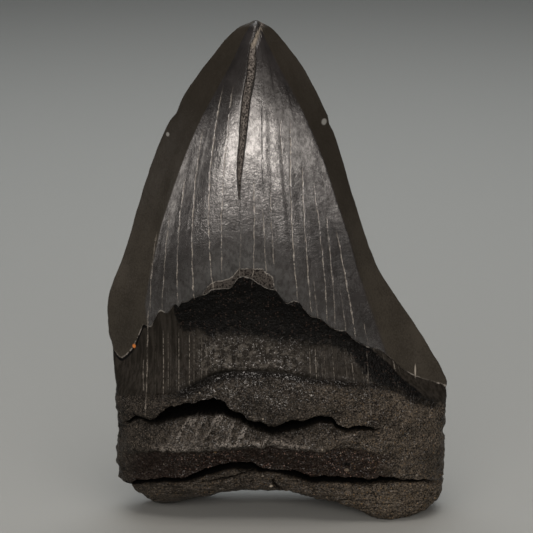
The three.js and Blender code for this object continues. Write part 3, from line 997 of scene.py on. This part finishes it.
class ToothShader(Shader):
    """The fossil's shader, with the grains, parts and cracks that colour, gloss and relief share."""

    def __init__(self):
        super().__init__("fossil_tooth")
        self.fine = self.grain(0.55, 2, 0.5)
        self.medium = self.grain(1.25, 3)
        self.broad = self.grain(10, 4, 0.6)
        self.streaks = self.grain(1.0, 4, 0.6, stretch=(1, 1, 22))
        striae_lean = self.rise(self.x, 0, 30, 0.0, 0.22)
        self.slanted = self.grain(0.65, 1, 0.5, place=self.leaning(striae_lean))
        self.folded = self.grain(2.0, 2, 0.5, place=self.leaning(-FOLD_LEAN, 0.2))

        self.uneven = self.less(self.medium, 0.5)
        self.enamel = self.rise(self.add(self.zone("over_margin"), self.uneven), -0.12, 0.12)
        self.root = self.fall(self.add(self.zone("over_band"), self.uneven), -0.5, 0.5)
        self.matte = self.most(self.zone("groove"), self.zone("flake"), self.zone("crack"))

        wobble = self.times(self.less(self.grain(5, 2), 0.5), 0.9)
        bead = self.times(self.less(self.grain(1.6, 2, 0.7), 0.45), 0.75)
        self.pale = self.times(
            crack_lines(self, PALE_CRACKS, wobble, bead),
            self.zone("front"),
            self.rise(self.grain(3.5, 3, 0.7), 0.38, 0.54, 0.3, 1.0),
            self.rise(self.fine, 0.36, 0.54, 0.4, 1.0),
        )
        dark = crack_lines(self, DARK_CRACKS, self.times(wobble, 0.5), bead)
        self.dark = self.times(dark, self.zone("front"))

    def leaning(self, lean, along=0.0):
        """A place whose x moves by lean for each mm up; along shortens its height."""
        x = self.math("MULTIPLY_ADD", self.z, lean, self.x)
        return self.node("ShaderNodeCombineXYZ", X=x, Z=self.times(self.z, along)).outputs["Vector"]


def enamel_coat(s):
    """Colour of the enamel: dark, with its blades, bright rim, flaked patch and filled groove, and
    painted shade along the groove's edges.
    """
    flake = s.zone("flake")
    lighter_below = s.rise(s.z, 125, 65, 0.25, 1.0)
    blade = s.times(s.rise(s.add(s.fine, s.broad), 0.7, 1.25, 0.45, 1.1), lighter_below)
    rim = s.times(s.fall(s.zone("over_margin"), 0.1, 0.7), s.rise(s.medium, 0.42, 0.55), s.zone("front"))
    flake_edge = s.times(s.rise_and_fall(flake, (0.05, 0.4), (0.6, 0.95)), s.rise(s.medium, 0.35, 0.55))
    near_tip = s.rise_and_fall(s.z, (141, 143), (146.8, 147.4))
    fill = s.layered(
        GROOVE_GREY,
        (ENAMEL_DARK, s.rise(s.grain(0.45, 3), 0.35, 0.65)),
        (SEDIMENT_PALE, near_tip, s.rise(s.medium, 0.38, 0.55), 0.6),
    )
    return s.layered(
        ENAMEL_DARK,
        (ENAMEL_GREY, s.rise(s.broad, 0.35, 0.68)),
        (ENAMEL_GREY, s.rise(s.streaks, 0.5, 0.75), 0.5),
        (s.mix(blade, BLADE_DARK, BLADE_GREY), s.zone("blade")),
        (ENAMEL_RIM, rim, s.rise(s.grain(7, 2), 0.42, 0.56, 0.15, 1.0)),
        (s.mix(s.rise(s.fine, 0.45, 0.65), FLAKE_GREY, ENAMEL_DARK), flake),
        (ENAMEL_RIM, flake_edge),
        (fill, s.zone("groove")),
        # Painted shade along the groove's edges.
        (SHADE_AND_CRACK_BLACK, s.zone("groove_shade_edge"), 0.6),
    )


def band_coat(s):
    """Colour of the bourlette band, with its pale striations and the black hollow under the margin. A
    painted shadow darkens the band under the enamel's left lobe.
    """
    neck = s.zone("neck")
    fields = (s.times(s.rise_and_fall(s.x, start, end), s.rise(s.z, *top)) for start, end, top in STRIATED)
    beads = s.rise(s.grain(0.7, 2, 0.6), 0.36, 0.6)
    striations = s.times(s.rise(s.slanted, 0.56, 0.66), beads, s.add(*fields), s.zone("front"))
    lobe_shadow = s.rise(s.zone("over_margin"), *LOBE_SHADOW_DROP)
    return s.layered(
        BAND_BROWN,
        (BAND_GREY, s.rise(s.streaks, 0.38, 0.62)),
        (BAND_PALE, striations, 0.75),
        (BAND_PALE, s.zone("worn"), s.rise(s.medium, 0.5, 0.62), 0.25),
        (NECK_BLACK, s.rise(s.add(neck, s.times(s.uneven, 1.8)), 0.2, 0.85)),
        (NECK_SPECK, neck, s.specks(0.7, 0.3, 7.9)),
        # Painted shadow under the enamel's left lobe.
        (SHADE_AND_CRACK_BLACK, lobe_shadow, s.rise(s.x, *LOBE_SHADOW_X), s.zone("front")),
    )


def root_coat(s):
    """Colour of the root: dark and grainy, tan toward the right, with rust and specks of sediment, with
    painted sheen on the ledge's lip and folds and a painted shadow under the upper crack.
    """
    rust, slab, ledge = s.zone("rust"), s.zone("slab"), s.zone("ledge")
    right = s.rise(s.x, *ROOT_TAN_X)
    patches = s.rise(s.grain(5.5, 3, 0.6), 0.36, 0.62)
    grey = s.add(s.times(s.rise(s.medium, 0.36, 0.66), 0.55), s.times(patches, 0.45))
    # The ledge's lip and slanting folds, lightened with painted sheen.
    lip = s.times(s.zone("lip"), s.rise(s.medium, 0.38, 0.55), s.rise(s.fine, 0.36, 0.54))
    fold = s.most(s.times(s.zone("fold"), 0.5), s.times(ledge, s.rise(s.folded, 0.53, 0.61)))
    dusty = s.add(s.times(right, 0.6), s.times(slab, 0.5))
    grit = s.grain(0.42, 2, 0.6)
    pits = s.rise(grit, 0.36, 0.46, 0.9, 0.0)
    return s.layered(
        ROOT_DARK,
        (ROOT_GREY, grey),
        (ROOT_TAN, right, s.rise(s.fine, 0.4, 0.62), s.add(0.25, s.times(patches, 0.6))),
        (ROOT_TAN, slab, s.rise(s.fine, 0.38, 0.6), s.rise(s.x, *SLAB_TAN_X, 0.3, 0.8)),
        (ROOT_TAN, ledge, s.rise(s.fine, 0.45, 0.62), 0.15),
        (FOLD_SHEEN, lip, s.rise(s.x, *LIP_SHEEN_X)),
        (FOLD_SHEEN, fold, s.rise(s.fine, 0.36, 0.56), s.rise(s.x, *FOLD_SHEEN_X, 0.5, 1.0)),
        (RUST, rust, s.rise(s.medium, 0.35, 0.5, 1.0, 0.8)),
        (RUST_SPECK, rust, s.specks(0.6, 0.25, 3.7), s.rise(s.x, *RUST_SPECK_X, 0.1, 1.0)),
        (SEDIMENT_TAN, s.specks(0.8, 0.3, 11.3), dusty),
        (SEDIMENT_PALE, s.specks(1.1, 0.015, 5.1), 0.8),
        (GRIT_PALE, s.rise(grit, 0.56, 0.68), s.less(0.55, s.times(rust, 0.3))),
        # Dark pits, and the painted shadow under the upper crack's overhang.
        (SHADE_AND_CRACK_BLACK, s.most(pits, s.times(s.zone("shade"), 0.75))),
    )


def spot_share(s, x, z, half_width, half_height):
    """Share of one oval mark on the front."""
    beside = s.math("POWER", s.times(s.less(s.x, x), 1 / half_width), 2.0)
    above = s.math("POWER", s.times(s.less(s.z, z), 1 / half_height), 2.0)
    return s.times(s.fall(s.add(beside, above), 0.3, 1.5), s.zone("front"))


def tooth_colour(s):
    return s.layered(
        band_coat(s),
        (root_coat(s), s.root),
        (enamel_coat(s), s.enamel),
        (CRACK_PALE, s.pale, 0.85),
        (SHADE_AND_CRACK_BLACK, s.dark, 0.9),
        *((paint, spot_share(s, *oval)) for *oval, paint in SPOTS),
        # Painted shade: black inside the cracks, and along the crease under the bourlette line.
        (SHADE_AND_CRACK_BLACK, s.most(s.zone("crack"), s.times(s.zone("crease"), 0.85))),
    )


def tooth_gloss(s):
    """Share of the polish: clustered glints on the root and the band, a mottled shine on the dome."""
    swelling = s.times(s.rise_and_fall(s.x, (-30, -14), (8, 24)), s.rise(s.z, 34, 40))
    shiny = s.most(s.times(swelling, s.root), s.zone("ledge"))
    glints = s.rise(s.add(s.grain(0.5, 3, 0.7), s.times(shiny, 0.03)), 0.56, 0.64)
    glints = s.times(glints, s.rise(s.grain(3.5, 3, 0.6), 0.4, 0.62, 0.25, 1.0))
    on_band = s.rise(s.zone("worn"), 0.0, 1.0, 0.2, 1.0)
    below = s.times(s.mix(s.root, on_band, s.rise(shiny, 0.0, 1.0, 0.7, 1.0)), glints)
    below = s.times(below, s.flip(s.times(s.zone("neck"), 0.65)), s.rise(s.x, *GLINT_X, 0.25, 1.0))

    mottle = s.rise(s.grain(0.8, 3, 0.6, stretch=(1, 1, 2)), 0.38, 0.58, 0.6, 1.0)
    mottle = s.times(mottle, s.rise(s.grain(4, 3, 0.6), 0.36, 0.6, 0.68, 1.0))
    shine = s.times(s.rise(s.zone("blade"), 0.0, 1.0, 1.0, 0.05), mottle)
    shine = s.times(shine, s.rise(s.z, *SHINE_TOP_Z, 1.0, 0.3), s.rise(s.z, *SHINE_FOOT_Z, 0.45, 1.0))
    return s.times(s.mix(s.enamel, below, shine), s.flip(s.matte))


def tooth_relief(s):
    """Height of the grain too fine for the mesh, in mm."""
    flaked = s.most(s.zone("flake"), s.zone("groove"))
    below_margin = s.flip(s.enamel)
    grains = (s.fine, s.medium, s.streaks)
    slab_grain = s.grain(1.0, 3, 0.6, stretch=SLAB_STRETCH)
    return s.add(
        s.times(s.enamel, s.flip(flaked), s.weighted(grains, ENAMEL_RELIEF)),
        s.times(below_margin, s.flip(s.root), s.weighted((s.slanted, s.streaks, s.fine), BAND_RELIEF)),
        s.times(s.most(s.zone("worn"), s.zone("neck")), below_margin, s.weighted(grains, WORN_RELIEF)),
        s.times(s.root, s.weighted(grains, ROOT_RELIEF)),
        s.times(s.zone("ledge"), s.folded, FOLD_RELIEF),
        s.times(s.zone("slab"), slab_grain, SLAB_RELIEF),
        s.times(flaked, s.weighted(grains, FLAKED_RELIEF)),
        s.times(s.pale, PALE_CRACK_RELIEF),
        s.times(s.dark, DARK_CRACK_RELIEF),
    )


def tooth_material():
    s = ToothShader()
    bump = s.node("ShaderNodeBump", Height=tooth_relief(s), Distance=MM, Strength=1.0)
    for name, value in (
        ("Base Color", tooth_colour(s)),
        ("Roughness", s.add(s.rise(s.matte, 0.0, 1.0, 0.45, 0.9), s.times(s.uneven, 0.3))),
        ("Specular IOR Level", SPECULAR_LEVEL),
        ("Coat Weight", tooth_gloss(s)),
        ("Coat Roughness", COAT_ROUGHNESS),
        ("Coat IOR", COAT_IOR),
        ("Normal", bump.outputs["Normal"]),
        ("Coat Normal", bump.outputs["Normal"]),
    ):
        s.feed(s.surface.inputs[name], value)
    return s.material


# ---- Floor, lights and camera ----

AIM = Vector((-3.4, 0, 76.3)) * MM
CAMERA_DISTANCE = 700 * MM
CAMERA_ELEVATION = math.radians(15)
CAMERA_LENS = 158.6
CAMERA_CLIP_START = 0.01
FLOOR_HALF_SIZE = 3.0
FLOOR_COLOUR = (0.318, 0.33, 0.322, 1)
FLOOR_ROUGHNESS = 0.7


def add_floor():
    half = FLOOR_HALF_SIZE
    corners = [(-half, -half, 0), (half, -half, 0), (half, half, 0), (-half, half, 0)]
    mesh = bpy.data.meshes.new("floor")
    mesh.from_pydata(corners, [], [(0, 1, 2, 3)])
    s = Shader("pale_floor")
    s.feed(s.surface.inputs["Base Color"], FLOOR_COLOUR)
    s.feed(s.surface.inputs["Roughness"], FLOOR_ROUGHNESS)
    mesh.materials.append(s.material)
    add_object("floor", mesh)


def add_softbox(name, place, aim, size, radiance, tint):
    """An area light at place, in mm, turned to aim: size is (width, height) in mm."""
    light = bpy.data.lights.new(name, "AREA")
    light.shape = "RECTANGLE"
    light.size, light.size_y = size[0] * MM, size[1] * MM
    light.energy = radiance * math.pi * light.size * light.size_y
    light.color = tint
    holder = add_object(name, light)
    holder.location = Vector(place) * MM
    toward = (Vector(aim) - Vector(place)).normalized()
    holder.rotation_euler = toward.to_track_quat("-Z", "Y").to_euler()


def around(azimuth, distance, height):
    """A place that many degrees round to the right from the viewer's side."""
    turn = math.radians(azimuth)
    return (distance * math.sin(turn), -distance * math.cos(turn), height)


WARM = (1, 0.915, 0.845)
WHITE = (1, 1, 1)
WORLD_COLOUR = (0.9, 0.92, 0.95, 1)
WORLD_STRENGTH = 0.05

# Softboxes: name, place, aim, (width, height), radiance and tint, with lengths in mm.
SOFTBOXES = (
    ("key", (-30, -900, 430), (0, 0, 110), (1400, 280), 5.0, WARM),
    ("left_fill", around(-75, 900, 290), (0, 0, 80), (450, 320), 1.3, WARM),
    ("right_fill", around(54, 900, 430), (0, 0, 100), (450, 290), 1.5, WARM),
    ("over", (0, -150, 600), (0, -20, 0), (480, 340), 3.1, WARM),
    ("back", (0, 500, 720), (0, 500, 0), (900, 600), 2.45, WHITE),
)


def add_lights():
    world = bpy.data.worlds.new("studio")
    world.use_nodes = True
    background = world.node_tree.nodes["Background"].inputs
    background["Color"].default_value = WORLD_COLOUR
    background["Strength"].default_value = WORLD_STRENGTH
    bpy.context.scene.world = world
    for softbox in SOFTBOXES:
        add_softbox(*softbox)


def add_camera():
    camera = add_object("camera", bpy.data.cameras.new("camera"))
    camera.data.lens = CAMERA_LENS
    camera.data.clip_start = CAMERA_CLIP_START
    back = Vector((0, -math.cos(CAMERA_ELEVATION), math.sin(CAMERA_ELEVATION)))
    camera.location = AIM + back * CAMERA_DISTANCE
    camera.rotation_euler = (-back).to_track_quat("-Z", "Y").to_euler()
    bpy.context.scene.camera = camera


# ---- The scene ----

tooth = build_tooth()
tooth.data.materials.append(tooth_material())
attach(tooth, "root")
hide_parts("tooth")

add_floor()
add_lights()
add_camera()
bpy.context.scene.view_settings.view_transform = "Standard"
